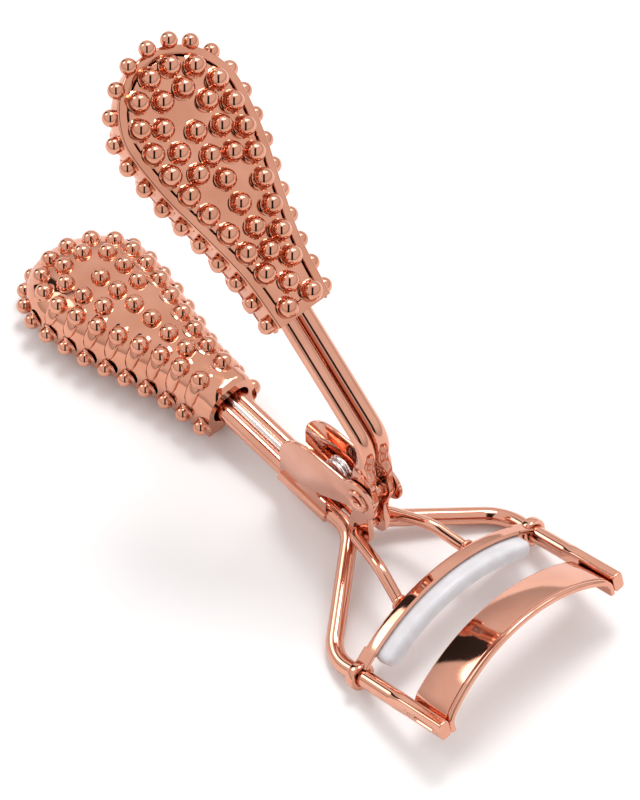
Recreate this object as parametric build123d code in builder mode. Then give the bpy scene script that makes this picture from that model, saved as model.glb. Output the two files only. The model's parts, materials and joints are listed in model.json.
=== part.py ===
from build123d import *
from math import asin, atan2, cos, degrees, hypot, radians, sin, sqrt, tan
import os

# Eyelash curler, in millimetres.  +X runs from the grips to the jaws, +Y towards the right rail
# and +Z up.  The curler lies on its lower grip and on the two cage corners.  The XZ plane is the
# plane of symmetry, and the origin is the bottom centre of the bounding box.

# ---- driving dimensions -------------------------------------------------------------------
wire_d = 2.85                 # every plated frame and lever wire
wire_r = wire_d / 2
wire_y = 1.65                 # half the spacing of the frame wires at the handle
lever_y = 1.5                 # half the spacing of the lever wires

rail_y = 19.0                 # half the spacing of the two rails
rail_pitch = 18.3             # rise of the rails towards the jaws, degrees
corner_x = 32.5               # where the flare meets the rail
rail_len = 25.8               # from that corner to the cut end
corner_lift = 0.29            # the rounding of the corner raises the wire by this much

neck_x = -11.75               # first bead of the lower grip
ring_z = 4.47                 # plane of the lower grip's ring of beads
neck_wire_z = ring_z + 2.1    # frame wires at the neck of the lower grip
wire_tail = 12.0              # length of wire held inside a grip
handle_pitch = 5.6            # fall of the frame wires towards the cage, degrees
flare_x = 18.8                # where the frame wires start to spread

pivot_x = 21.7                # axis of the lever's rivet
pivot_z = 16.8
arm = 10.0                    # rivet to the push eye
lever_open = 41.6             # swing of the lever from open to closed, degrees
lever_pitch = 42.8            # rise of the open lever behind its bend, degrees
lever_bend_x = pivot_x + 0.2
lever_bend_z = pivot_z + 12.8
upper_u = 25.2                # along the lever from its bend to the upper grip's first bead
upper_rise = 1.9              # the ring plane stands this far outside the lever wires there
upper_pitch = 38.2            # rise of the upper grip's ring plane, degrees
upper_yaw = 2.0               # the upper grip sits slightly turned on its wires, degrees

plate_t = 1.2                 # flattened ends of the lever wires
plate_y = 1.75                # middle of each flattened end
plate_w = 4.2                 # its width above the rivet
plate_neck_w = 3.4            # and between its two eyes
pivot_eye_r = 2.9
push_eye_r = 2.5
sheet_t = 0.6                 # bracket sheet
ear_y = 3.1                   # outer face of each ear
rivet_r = 1.5
rivet_bore_r = 0.85
rivet_head_r = 2.15
rivet_head_t = 0.55
rod_d = 2.0                   # push rod wire
rod_tenon_r = 0.74            # its ends, turned down to pass through the jaw's web
rod_collar_r = 1.45
rod_collar_t = 0.75
spring_d = 1.0                # spring wire

jaw_t = 0.8                   # moving jaw sheet
jaw_back_u = -20.6            # along the rails, counted back from their cut ends
jaw_front_u = -18.0
jaw_r = 33.5                  # radius of the moving jaw's upper face
jaw_top_v = 7.3               # height of that face above the rails at the middle
pad_h = 2.8
web_v = jaw_top_v - 2.3       # height of the push rod's holes in the jaw's web
rod_hole_y = 7.3
pad_front_u = -15.3
pad_sag = 0.05                # daylight left between pad and fixed jaw when closed
lug_u = -19.4                 # middle of the sliding lugs
lug_len = 2.4
lug_r = 2.45
fixed_t = 1.0
fixed_back_v = 6.7            # height of the fixed jaw's arch at its rear edge
fixed_front_v = 8.0           # and at its front edge
fixed_foot_v = 0.9            # the strip's ends stand this far above the rails' centres
flat_u = -10.7                # the rails are pressed flat in front of this
flat_h = 3.5
flat_t = 2.0
slot_u = -3.9                 # middle of the slot that holds the fixed jaw's tab
slot_len = 4.6
slot_w = 1.2
dent_u = -7.4                 # small set-down behind the slot
dent_r = 0.95

ring_bead_r = 1.35            # beads round the edge of a grip
face_bead_r = 1.62            # large beads on both faces
grip_top = 7.0                # inner, domed side above the ring plane
tip_top = 1.4                 # height of the inner side at the tip
grip_rim = 2.3                # outer rim below the ring plane
cover_t = 1.2

running = 0.12                # clearance of a sliding or turning piece

# ---- derived places -------------------------------------------------------------------------
ca = cos(radians(rail_pitch))
sa = sin(radians(rail_pitch))
cl = cos(radians(lever_pitch))
sl = sin(radians(lever_pitch))
corner_z = wire_r - corner_lift
end_x = corner_x + rail_len * ca
end_z = corner_z + rail_len * sa
flare_z = neck_wire_z - (flare_x - neck_x) * tan(radians(handle_pitch))
eye_lean = rail_pitch - lever_open / 2      # the push eye swings evenly about the rails' direction
eye_x = pivot_x + arm * sin(radians(eye_lean))
eye_z = pivot_z - arm * cos(radians(eye_lean))
jaw_travel = 2 * arm * sin(radians(lever_open / 2))
slot_reach = arm * (1 - cos(radians(lever_open / 2)))
fixed_back_u = pad_front_u + jaw_travel + pad_sag


def rail_point(u, y, v):
    """A point u along the rails from their cut ends, y across and v square above them."""
    return (end_x + u * ca - v * sa, y, end_z + u * sa + v * ca)


def across_rails(u, tilt=0.0):
    """A plane square to the rails at u: its x runs across (+Y), its y up and its normal forward."""
    a = radians(rail_pitch + tilt)
    return Plane(origin=rail_point(u, 0, 0), x_dir=(0, 1, 0), z_dir=(cos(a), 0, sin(a)))


def beside(y):
    """The side plane at y: its x is the part's X, its y the part's Z and its normal -Y."""
    return Plane(origin=(0, y, 0), x_dir=(1, 0, 0), z_dir=(0, -1, 0))


def rounded_path(points, radii):
    """A wire of straight runs joined by tangent arcs, one radius for each inner point."""
    edges = []
    here = Vector(*points[0])
    for i, radius in enumerate(radii, start=1):
        a = Vector(*points[i - 1])
        b = Vector(*points[i])
        c = Vector(*points[i + 1])
        back = (a - b).normalized()
        ahead = (c - b).normalized()
        half = radians(back.get_angle(ahead)) / 2
        reach = radius / tan(half)
        middle = b + (back + ahead).normalized() * (radius / sin(half) - radius)
        edges.append(Line(here, b + back * reach, mode=Mode.PRIVATE))
        edges.append(ThreePointArc(b + back * reach, middle, b + ahead * reach, mode=Mode.PRIVATE))
        here = b + ahead * reach
    edges.append(Line(here, Vector(*points[-1]), mode=Mode.PRIVATE))
    return Wire(edges)


# ---- frame wires: handle, flare, corner, rail ------------------------------------------------
def frame_wire(side):
    """The whole wire from inside the lower grip to the square-cut front end of one rail."""
    tail_x = neck_x - wire_tail
    tail_z = neck_wire_z + wire_tail * tan(radians(handle_pitch))
    return rounded_path(
        [
            (tail_x, side * wire_y, tail_z),
            (flare_x, side * wire_y, flare_z),
            (corner_x, side * rail_y, corner_z),
            rail_point(flat_u, side * rail_y, 0),
        ],
        [5.0, 6.5],
    )


def build_frame_wire(side):
    path = frame_wire(side)
    with BuildPart() as wire:
        with BuildSketch(Plane(origin=path @ 0, z_dir=path % 0)):
            Circle(wire_r)
        sweep(path=path)
        # pressed front half, with the slot that holds the fixed jaw's tab
        with BuildSketch(across_rails(flat_u - 0.1)):
            with Locations((side * rail_y, 0)):
                RectangleRounded(flat_t, flat_h, 0.7)
        extrude(amount=-flat_u + 0.1)
        with BuildSketch(beside(side * (rail_y - flat_t))):
            with Locations(Location((*rail_point(slot_u, 0, 0)[::2], 0), (0, 0, rail_pitch))):
                SlotOverall(slot_len, slot_w)
        extrude(amount=-side * 2 * flat_t, mode=Mode.SUBTRACT)
        with Locations(rail_point(dent_u, side * (rail_y + flat_t / 2 + dent_r / 2), 0)):
            Sphere(dent_r, mode=Mode.SUBTRACT)
    return wire.part


frame_wire_left = build_frame_wire(-1)
frame_wire_left.label = "frame_wire_left"
frame_wire_right = build_frame_wire(1)
frame_wire_right.label = "frame_wire_right"

# ---- hinge bracket: one sheet wrapped under the wires, with two upright ears -------------------
wrap_back = pivot_x - 17.7
wrap_front = pivot_x - 7.2
wrap_mid_z = neck_wire_z - (wrap_back + 5 - neck_x) * tan(radians(handle_pitch))
ear_top = pivot_z + 2.0
tongue_r = 3.7

with BuildPart() as hinge_bracket:
    wrap_plane = Plane(
        origin=(wrap_back, 0, neck_wire_z - (wrap_back - neck_x) * tan(radians(handle_pitch))),
        x_dir=(0, 1, 0),
        z_dir=(cos(radians(handle_pitch)), 0, -sin(radians(handle_pitch))),
    )
    with BuildSketch(wrap_plane):
        SlotCenterToCenter(2 * wire_y, wire_d + 2 * sheet_t)
        with Locations((0, 11)):
            Rectangle(2 * ear_y, 22)
        SlotCenterToCenter(2 * wire_y, wire_d, mode=Mode.SUBTRACT)
        with Locations((0, 11)):
            Rectangle(2 * (ear_y - sheet_t), 22, mode=Mode.SUBTRACT)
    extrude(amount=26)
    # side outline of the ears, the tongue round the rivet and the slot over the wires
    with BuildSketch(beside(10)):
        with BuildLine():
            bottom = Line((wrap_back, -2), (wrap_front, -2))
            front = Line(bottom @ 1, (wrap_front, wrap_mid_z + 3.4))
            slot_low = Line(front @ 1, (wrap_front - 1.4, wrap_mid_z + 3.4))
            slot_top = ThreePointArc(
                slot_low @ 1,
                (wrap_front - 2.1, wrap_mid_z + 4.1),
                (wrap_front - 1.2, wrap_mid_z + 4.8),
            )
            under = Line(slot_top @ 1, (pivot_x - 1.6, pivot_z - sqrt(tongue_r**2 - 1.6**2)))
            tip = ThreePointArc(
                under @ 1,
                (pivot_x + tongue_r, pivot_z),
                (pivot_x - 2.4, pivot_z + sqrt(tongue_r**2 - 2.4**2)),
            )
            step = Line(tip @ 1, (pivot_x - 3.1, ear_top))
            top = Line(step @ 1, (wrap_back + 7.4, ear_top - 0.2))
            shoulder = ThreePointArc(top @ 1, (wrap_back + 2.0, ear_top - 2.4), (wrap_back, ear_top - 7.6))
            Line(shoulder @ 1, (wrap_back, -2))
        make_face()
    extrude(amount=20, mode=Mode.INTERSECT)
    with BuildSketch(beside(10)):
        with Locations((pivot_x, pivot_z)):
            Circle(rivet_r)
    extrude(amount=20, mode=Mode.SUBTRACT)
hinge_bracket.part.label = "hinge_bracket"

# ---- pivot rivet: a tube with a rolled flange at each end ---------------------------------------
with BuildPart() as pivot_rivet:
    with BuildSketch(beside(ear_y + rivet_head_t)):
        with Locations((pivot_x, pivot_z)):
            Circle(rivet_head_r)
    extrude(amount=rivet_head_t)
    with BuildSketch(beside(ear_y)):
        with Locations((pivot_x, pivot_z)):
            Circle(rivet_r)
    extrude(amount=2 * ear_y)
    with BuildSketch(beside(-ear_y)):
        with Locations((pivot_x, pivot_z)):
            Circle(rivet_head_r)
    extrude(amount=rivet_head_t)
    with BuildSketch(beside(ear_y + rivet_head_t)):
        with Locations((pivot_x, pivot_z)):
            Circle(rivet_bore_r)
    extrude(amount=2 * (ear_y + rivet_head_t), mode=Mode.SUBTRACT)
    rims = pivot_rivet.edges().filter_by(GeomType.CIRCLE)
    rims = [e for e in rims if abs(e.radius - rivet_head_r) < 0.01 and abs(e.center().Y) > ear_y + 0.3]
    fillet(rims, 0.3)
pivot_rivet.part.label = "pivot_rivet"

# ---- torsion spring: coil between the ears, one leg on the frame wires, one under the lever -----
coil_x = pivot_x - 7.0
coil_z = pivot_z - 2.6
coil_r = 2.3
coil_pitch = spring_d + 0.04
coil_start = -70.0            # where the lower leg meets the coil, degrees from +X towards +Z
coil_end = 712.0              # where the upper leg leaves it
coil_half = coil_pitch * (coil_end - coil_start) / 720
frame_leg_rise = sqrt((wire_r + spring_d / 2 + 0.05) ** 2 - wire_y**2)
lever_leg_rise = sqrt((wire_r + spring_d / 2 + 0.1) ** 2 - lever_y**2)


def coil_point(angle, y):
    return (coil_x + coil_r * cos(radians(angle)), y, coil_z + coil_r * sin(radians(angle)))


def frame_groove(x):
    """Centre of a spring leg lying in the groove on top of the two frame wires."""
    return (x, 0, neck_wire_z - (x - neck_x) * tan(radians(handle_pitch)) + frame_leg_rise)


def lever_groove(back):
    """Centre of a spring leg lying in the groove under the two lever wires, back from the bend."""
    return (
        lever_bend_x - back * cl - lever_leg_rise * sl,
        0,
        lever_bend_z + back * sl - lever_leg_rise * cl,
    )


lower_leg = rounded_path(
    [frame_groove(neck_x - 8), frame_groove(coil_x - 12), coil_point(coil_start, -coil_half)], [9.0]
)
upper_leg = rounded_path(
    [coil_point(coil_end, coil_half), lever_groove(0.5), lever_groove(14)], [4.0]
)
coil = Edge.make_helix(
    coil_pitch, 2 * coil_half, coil_r, (coil_x, -coil_half, coil_z), (0, 1, 0), lefthand=True
)
first = coil @ 0
turn = coil_start - degrees(atan2(first.Z - coil_z, first.X - coil_x))
coil = coil.rotate(Axis((coil_x, 0, coil_z), (0, -1, 0)), turn)

with BuildPart() as torsion_spring:
    with BuildSketch(Plane(origin=coil @ 0, z_dir=coil % 0)):
        Circle(spring_d / 2)
    sweep(path=coil, is_frenet=True)
    for leg in (lower_leg, upper_leg):
        with BuildSketch(Plane(origin=leg @ 0, z_dir=leg % 0)):
            Circle(spring_d / 2)
        sweep(path=leg)
    with Locations(coil @ 0, coil @ 1):
        Sphere(spring_d / 2)
torsion_spring.part.label = "torsion_spring"

# ---- lever wires: grip end, bend, flattened plate with pivot and push eyes ----------------------
plate_top = pivot_z + 5.8
round_bottom = pivot_z + 9.2


def build_lever_wire(side):
    tail = upper_u + wire_tail
    path = rounded_path(
        [
            (lever_bend_x - tail * cl, side * lever_y, lever_bend_z + tail * sl),
            (lever_bend_x, side * lever_y, lever_bend_z),
            (pivot_x, side * lever_y, round_bottom),
        ],
        [6.0],
    )
    with BuildPart() as lever:
        with BuildSketch(Plane(origin=path @ 0, z_dir=path % 0)):
            Circle(wire_r)
        sweep(path=path)
        with BuildSketch(Plane.XY.offset(round_bottom)):
            with Locations((pivot_x, side * lever_y)):
                Circle(wire_r)
        with BuildSketch(Plane.XY.offset(plate_top)):
            with Locations((pivot_x, side * plate_y)):
                RectangleRounded(plate_w, plate_t, 0.5)
        loft()
        with BuildSketch(beside(side * plate_y + plate_t / 2)):
            with Locations((pivot_x, pivot_z)):
                Circle(pivot_eye_r)
            with Locations((eye_x, eye_z)):
                Circle(push_eye_r)
            with Locations((pivot_x, (pivot_z + plate_top) / 2)):
                Rectangle(plate_w, plate_top - pivot_z)
            with Locations(Location(((pivot_x + eye_x) / 2, (pivot_z + eye_z) / 2, 0), (0, 0, eye_lean))):
                Rectangle(plate_neck_w, arm)
            with Locations((pivot_x, pivot_z)):
                Circle(rivet_r + running / 2, mode=Mode.SUBTRACT)
            # the push eye is long enough for the rod's small rise at mid swing
            with Locations(Location((eye_x, eye_z + slot_reach / 2, 0), (0, 0, 90 + eye_lean))):
                SlotCenterToCenter(slot_reach + running, rod_d + 2 * running, mode=Mode.SUBTRACT)
        extrude(amount=plate_t)
    return lever.part


lever_wire_left = build_lever_wire(-1)
lever_wire_left.label = "lever_wire_left"
lever_wire_right = build_lever_wire(1)
lever_wire_right.label = "lever_wire_right"

# ---- grips: one moulding used twice, a beaded shell and an inlaid beaded cover ---------------------
neck_half = 5.72              # half-width of the ring line at the neck
tip_s = 44.3
curl_s = 35.0                 # from here the ring of beads turns down towards the outer face
curl = 3.1
ring_inset = 0.55             # the beads' centres stand this far outside the shell's wall
neck_s = -1.2                 # flat end face of the neck
mouth_z = 2.1                 # middle of the oval mouth above the ring plane
mouth_h = 5.4
tip_middle = 32.6             # the outline closes in on this point round the tip
tip_half = 11.45              # half-width there
fall_s = 14.0                 # from here the inner side falls towards the tip

swell = 1.12                  # above 1 the grip widens later along its length
row_gap = 3.5                 # from one row of beads to the next
bead_pitch = 4.1              # along a row
bead_clear = 3.55             # least distance between two large beads
cover_inset = 3.6             # rim row of the cover, in from the ring line
dome_inset = 3.2              # and of the inner side


def outline_at(share):
    """A point of the ring line from the neck (0) past the widest place (0.7) to the tip (1)."""
    if share > 0.7:
        turn = radians(90) * (share - 0.7) / 0.3
        return (tip_middle + (tip_s - tip_middle) * sin(turn), tip_half * cos(turn))
    t = (share / 0.7) ** swell
    return (tip_middle * share / 0.7, neck_half + (tip_half - neck_half) * t * t * (3 - 2 * t))


ring_points = [outline_at(0.175 * i) for i in range(5)] + [outline_at(0.7 + 0.07 * i) for i in (1, 2, 3)]


def drawn_in(s, w, inset):
    """A point of the ring line moved inwards: sideways along the grip, to its middle round the tip."""
    if s <= tip_middle:
        return (s, w - inset)
    share = 1 - inset / tip_half
    return (tip_middle + (s - tip_middle) * share, w * share)


def both_sides(places):
    return places + [(s, -y) for s, y in places if y > 0]


def bead_row(inset, first):
    """Places evenly along one side of the outline drawn in by inset, ending half a step from the tip."""
    line = [drawn_in(*outline_at(i / 400), inset) for i in range(401)]
    line = [place for place in line if place[0] >= first]
    along = [0]
    for here, ahead in zip(line, line[1:]):
        along.append(along[-1] + hypot(ahead[0] - here[0], ahead[1] - here[1]))
    steps = round(along[-1] / bead_pitch - 0.5) + 0.5
    marks = [k * along[-1] / steps for k in range(int(steps) + 1)]
    return [line[next(i for i, d in enumerate(along) if d >= mark)] for mark in marks]


def clear_of(place, others, gap):
    return all(hypot(place[0] - s, place[1] - y) >= gap for s, y in others)


def middle_row(first, last, others):
    """Beads down the middle of a face, as close as the rows beside them allow."""
    row = []
    for i in range(int((last - first) * 10)):
        place = (first + i / 10, 0)
        if clear_of(place, others, bead_clear) and clear_of(place, row, bead_pitch):
            row.append(place)
    return row


def inner_row(inset, others):
    """A second row inside the rim row, where the face is wide enough for it."""
    row = [(s, y) for s, y in bead_row(inset, 8) if y >= bead_clear / 2]
    return [place for place in row if clear_of(place, others, bead_clear)]


def grip_face(inset, start):
    """The grip's outline as a face: its ring line moved inwards by inset, cut square at s = start."""
    side = [(start, ring_points[0][1] - inset)]
    side += [drawn_in(s, w, inset) for s, w in ring_points if s > start + 3]
    with BuildSketch() as face:
        with BuildLine():
            far = Spline(*side, drawn_in(tip_s, 0, inset), tangents=((1, 0.08), (0, -1)))
            mirror(far, about=Plane.XZ)
            Line((start, side[0][1]), (start, -side[0][1]))
        make_face()
    return face.sketch


def crown(s):
    """Height of the inner side's middle line at s."""
    return grip_top - (grip_top - tip_top) * (max(s - fall_s, 0) / (tip_s - fall_s)) ** 3


ring_half = Spline(*ring_points, (tip_s, 0), tangents=((1, 0.08), (0, -1)))
ring_count = 13               # beads on each side, besides the one at the tip
ring_line = [(ring_half @ (i / ring_count)) for i in range(ring_count + 1)]
ring_places = [
    (s, y, -curl * (max(s - curl_s, 0) / (tip_s - curl_s)) ** 1.5)
    for s, y in both_sides([(p.X, p.Y) for p in ring_line[:-1]] + [(tip_s, 0)])
]
cover_rim = [(0.8, 2.4)] + bead_row(cover_inset, 6.8)
cover_rows = both_sides(cover_rim + inner_row(cover_inset + row_gap, cover_rim))
cover_places = cover_rows + middle_row(3.9, 40, cover_rows)
dome_rim = bead_row(dome_inset, 3.2)
dome_between = inner_row(dome_inset + row_gap, dome_rim)
dome_rows = both_sides(dome_rim + dome_between)
dome_places = both_sides(dome_between) + middle_row(4.8, 40, dome_rows)
wall_face = grip_face(ring_inset, neck_s)
seat_face = grip_face(ring_inset + 1.5, 0.6)
hollow_face = grip_face(ring_inset + 2.6, 22.0)
cover_face = grip_face(ring_inset + 1.55, 0.65)

with BuildPart() as shell:
    with BuildSketch(Plane.XY.offset(-grip_rim)):
        add(wall_face)
    extrude(amount=grip_rim + grip_top)
    # the dome falls towards the tip
    with BuildSketch(beside(20)):
        with BuildLine():
            stations = [fall_s + (tip_s + 1 - fall_s) * i / 6 for i in range(7)]
            fall = Spline(*[(s, crown(s)) for s in stations], tangents=((1, 0), (1, -0.6)))
            Polyline(fall @ 1, (tip_s + 1, grip_top + 2), (fall_s, grip_top + 2), fall @ 0)
        make_face()
    extrude(amount=40, mode=Mode.SUBTRACT)
    fillet(shell.edges().group_by(Axis.Z)[-1], 4.4)
    with BuildSketch(Plane.XY.offset(-grip_rim)):
        add(seat_face)
    extrude(amount=cover_t + 0.2, mode=Mode.SUBTRACT)
    with BuildSketch(Plane.XY.offset(-grip_rim + cover_t + 0.2)):
        add(hollow_face)
    extrude(amount=5.0, mode=Mode.SUBTRACT)
    # oval mouth for the pair of wires and the spring's leg
    with BuildSketch(Plane(origin=(neck_s, 0, mouth_z), x_dir=(0, 1, 0), z_dir=(1, 0, 0))):
        SlotCenterToCenter(2 * wire_y - 1.0, mouth_h)
    extrude(amount=wire_tail + 2, mode=Mode.SUBTRACT)
    with Locations(*ring_places):
        Sphere(ring_bead_r)
    with Locations(*[(s, y, crown(s) - 0.6) for s, y in both_sides(dome_rim)]):
        Sphere(face_bead_r)
    with Locations(*[(s, y, crown(s) - 0.1) for s, y in dome_places]):
        Sphere(face_bead_r)

with BuildPart() as cover:
    with BuildSketch(Plane.XY.offset(-grip_rim + 0.15)):
        add(cover_face)
    extrude(amount=cover_t)
    with Locations(*[(s, y, -grip_rim - 0.55) for s, y in cover_places]):
        Sphere(face_bead_r)
    # the beads' inner halves are trimmed flush with the back of the plate
    with Locations((20, 0, -grip_rim + 0.15 + cover_t + 5)):
        Box(80, 40, 10, mode=Mode.SUBTRACT)

# the lower grip lies on its cover; the upper one has its cover outside, away from the lower one
lower_place = Plane(origin=(neck_x, 0, ring_z), x_dir=(-1, 0, 0), z_dir=(0, 0, 1)).location
cu = cos(radians(upper_pitch))
su = sin(radians(upper_pitch))
upper_place = Plane(
    origin=(
        lever_bend_x - upper_u * cl + upper_rise * sl,
        0,
        lever_bend_z + upper_u * sl + upper_rise * cl,
    ),
    x_dir=(-cu, tan(radians(upper_yaw)), su),
    z_dir=(-su, 0, -cu),
).location

lower_grip_shell = shell.part.moved(lower_place)
lower_grip_shell.label = "lower_grip_shell"
lower_grip_cover = cover.part.moved(lower_place)
lower_grip_cover.label = "lower_grip_cover"
upper_grip_shell = shell.part.moved(upper_place)
upper_grip_shell.label = "upper_grip_shell"
upper_grip_cover = cover.part.moved(upper_place)
upper_grip_cover.label = "upper_grip_cover"

# ---- jaws: sections turned about axes that run along the rails --------------------------------------
rail_dir = (ca, 0, sa)


def turned_section(radius_axis_v, start_angle):
    """A plane through an axis along the rails at height v: x forward, y outwards from the axis."""
    a = radians(start_angle)
    outward = (-sa * cos(a), sin(a), ca * cos(a))
    normal = Vector(*rail_dir).cross(Vector(*outward))
    return Plane(origin=rail_point(0, 0, radius_axis_v), x_dir=rail_dir, z_dir=normal)


jaw_axis_v = jaw_top_v - jaw_r
jaw_axis = Axis(rail_point(0, 0, jaw_axis_v), rail_dir)
lip_sweep = degrees(asin((rail_y - 0.4) / jaw_r))
channel_sweep = degrees(asin((rail_y - wire_r - 1.4) / jaw_r))
channel_r = jaw_r - 2 * jaw_t - pad_h

with BuildPart() as moving_jaw:
    with BuildSketch(turned_section(jaw_axis_v, -lip_sweep)):
        with Locations(((jaw_back_u + jaw_front_u) / 2, jaw_r - jaw_t / 2)):
            Rectangle(jaw_front_u - jaw_back_u, jaw_t)
    revolve(axis=jaw_axis, revolution_arc=-2 * lip_sweep)
    with BuildSketch(turned_section(jaw_axis_v, -channel_sweep)):
        with Locations((jaw_back_u + jaw_t / 2, (jaw_r + channel_r) / 2)):
            Rectangle(jaw_t, jaw_r - channel_r)
        with Locations(((jaw_back_u + jaw_front_u) / 2 - 0.4, channel_r + jaw_t / 2)):
            Rectangle(jaw_front_u - jaw_back_u - 0.8, jaw_t)
    revolve(axis=jaw_axis, revolution_arc=-2 * channel_sweep)
    # sliding lugs round the rails
    with BuildSketch(across_rails(lug_u - lug_len / 2)):
        with Locations((rail_y, 0), (-rail_y, 0)):
            Circle(lug_r)
    extrude(amount=lug_len)
    with BuildSketch(across_rails(jaw_back_u - 2)):
        with Locations((rail_y, 0), (-rail_y, 0)):
            Circle(wire_r + running)
    extrude(amount=10, mode=Mode.SUBTRACT)
    # holes for the riveted ends of the push rod
    with BuildSketch(across_rails(jaw_back_u - 1)):
        with Locations((rod_hole_y, web_v), (-rod_hole_y, web_v)):
            Circle(rod_tenon_r + 0.01)
    extrude(amount=2.4, mode=Mode.SUBTRACT)
moving_jaw.part.label = "moving_jaw"

pad_top_r = jaw_r - jaw_t - 0.04
pad_low_r = pad_top_r - pad_h + 0.08
pad_back_u = jaw_back_u + jaw_t + 0.9
pad_sweep = degrees(asin((rail_y - wire_r - 0.9) / jaw_r))
with BuildPart() as silicone_pad:
    with BuildSketch(turned_section(jaw_axis_v, -pad_sweep)) as pad_section:
        with BuildLine():
            Polyline((pad_front_u - 0.7, pad_low_r), (pad_back_u, pad_low_r), (pad_back_u, pad_top_r),
                     (pad_front_u - 1.0, pad_top_r))
            ThreePointArc((pad_front_u - 1.0, pad_top_r), (pad_front_u, pad_low_r + 1.3),
                          (pad_front_u - 0.7, pad_low_r))
        make_face()
    revolve(axis=jaw_axis, revolution_arc=-2 * pad_sweep)
silicone_pad.part.label = "silicone_pad"

tab_inner = rail_y - flat_t / 2


def arch_band(u, apex):
    """Cross-section of the fixed jaw's strip at u: a band bent up to apex between the rails."""
    with BuildSketch(across_rails(u)) as band:
        with BuildLine():
            top = ThreePointArc((-tab_inner, fixed_foot_v), (0, apex), (tab_inner, fixed_foot_v))
            low = ThreePointArc(
                (tab_inner, fixed_foot_v - fixed_t), (0, apex - fixed_t), (-tab_inner, fixed_foot_v - fixed_t)
            )
            Line(top @ 1, low @ 0)
            Line(low @ 1, top @ 0)
        make_face()
    return band.sketch


with BuildPart() as fixed_jaw:
    add(arch_band(fixed_back_u, fixed_back_v))
    add(arch_band(0, fixed_front_v))
    loft()
    with BuildSketch(across_rails(fixed_back_u + 1.2)):
        with Locations((tab_inner - 0.45, -0.3), (-tab_inner + 0.45, -0.3)):
            Rectangle(0.9, 2.6)
    extrude(amount=-fixed_back_u - 1.2)
    # tabs through the slots in the rails, peened flush
    with BuildSketch(beside(rail_y + flat_t / 2 - 0.25)):
        with Locations(Location((*rail_point(slot_u, 0, 0)[::2], 0), (0, 0, rail_pitch))):
            SlotOverall(slot_len, slot_w)
    extrude(amount=flat_t)
    with BuildSketch(beside(-rail_y + flat_t / 2 + 0.2)):
        with Locations(Location((*rail_point(slot_u, 0, 0)[::2], 0), (0, 0, rail_pitch))):
            SlotOverall(slot_len, slot_w)
    extrude(amount=flat_t - 0.05)
fixed_jaw.part.label = "fixed_jaw"

# ---- push rod: one wire through both push eyes, its ends riveted to the moving jaw -------------------
rod_side = 3.3                # the rod turns forward this far out from the middle
rod_end = rail_point(jaw_back_u - 0.5, rod_hole_y, web_v)


def rod_half(side):
    return [
        (eye_x, side * rod_side, eye_z),
        (eye_x + 8.0, side * 5.7, eye_z + 2.4),
        (rod_end[0], side * rod_hole_y, rod_end[2]),
    ]


rod_points = rod_half(-1)[::-1] + rod_half(1)
with BuildPart() as push_rod:
    rod_path = rounded_path(rod_points, [6.0, 1.6, 1.6, 6.0])
    with BuildSketch(Plane(origin=rod_path @ 0, z_dir=rod_path % 0)):
        Circle(rod_d / 2)
    sweep(path=rod_path)
    with BuildSketch(across_rails(jaw_back_u - rod_collar_t)):
        with Locations((rod_hole_y, web_v), (-rod_hole_y, web_v)):
            Circle(rod_collar_r)
    extrude(amount=rod_collar_t)
    with BuildSketch(across_rails(jaw_back_u)):
        with Locations((rod_hole_y, web_v), (-rod_hole_y, web_v)):
            Circle(rod_tenon_r)
    extrude(amount=jaw_t + 0.3)
push_rod.part.label = "push_rod"

# ---- files -------------------------------------------------------------------------------------------
nodes = [
    frame_wire_left,
    frame_wire_right,
    hinge_bracket.part,
    pivot_rivet.part,
    torsion_spring.part,
    fixed_jaw.part,
    lower_grip_shell,
    lower_grip_cover,
    lever_wire_left,
    lever_wire_right,
    upper_grip_shell,
    upper_grip_cover,
    moving_jaw.part,
    silicone_pad.part,
    push_rod.part,
]
os.makedirs("parts", exist_ok=True)
for node in nodes:
    export_step(node, f"parts/{node.label}.step")
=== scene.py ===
"""Looks of the eyelash curler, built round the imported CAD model.

Lengths are in millimetres and angles in degrees; mesh_piece() turns lengths into metres.  The axes
are those of the CAD model: +X towards the jaws, +Y towards the right rail and +Z up, with u
forwards along the rails from 0 at their cut ends, and v square above the rails."""
import json
from math import acos, asin, atan2, ceil, cos, degrees, hypot, pi, radians, sin, sqrt, tan

import bmesh
import bpy
import numpy as np
from mathutils import Matrix, Vector
from mathutils.geometry import tessellate_polygon


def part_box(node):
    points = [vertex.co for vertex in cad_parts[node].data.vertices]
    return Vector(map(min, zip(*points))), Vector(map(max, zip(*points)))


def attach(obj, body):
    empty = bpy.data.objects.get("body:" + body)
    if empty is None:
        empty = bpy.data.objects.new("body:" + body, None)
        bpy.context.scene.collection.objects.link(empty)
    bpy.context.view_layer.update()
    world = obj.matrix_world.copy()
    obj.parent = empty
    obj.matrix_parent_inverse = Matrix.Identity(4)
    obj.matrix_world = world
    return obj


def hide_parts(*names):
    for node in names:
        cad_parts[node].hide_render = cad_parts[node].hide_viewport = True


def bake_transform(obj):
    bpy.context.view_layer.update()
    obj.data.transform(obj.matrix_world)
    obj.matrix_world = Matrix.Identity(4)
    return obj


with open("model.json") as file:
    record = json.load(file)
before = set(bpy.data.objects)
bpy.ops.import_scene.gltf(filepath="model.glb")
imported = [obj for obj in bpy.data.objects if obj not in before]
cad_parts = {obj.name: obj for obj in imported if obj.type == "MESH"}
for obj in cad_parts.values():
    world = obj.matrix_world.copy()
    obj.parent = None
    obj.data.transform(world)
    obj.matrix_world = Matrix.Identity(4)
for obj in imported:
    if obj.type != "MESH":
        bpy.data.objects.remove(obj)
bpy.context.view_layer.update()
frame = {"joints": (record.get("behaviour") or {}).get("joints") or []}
MM = 0.001

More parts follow.
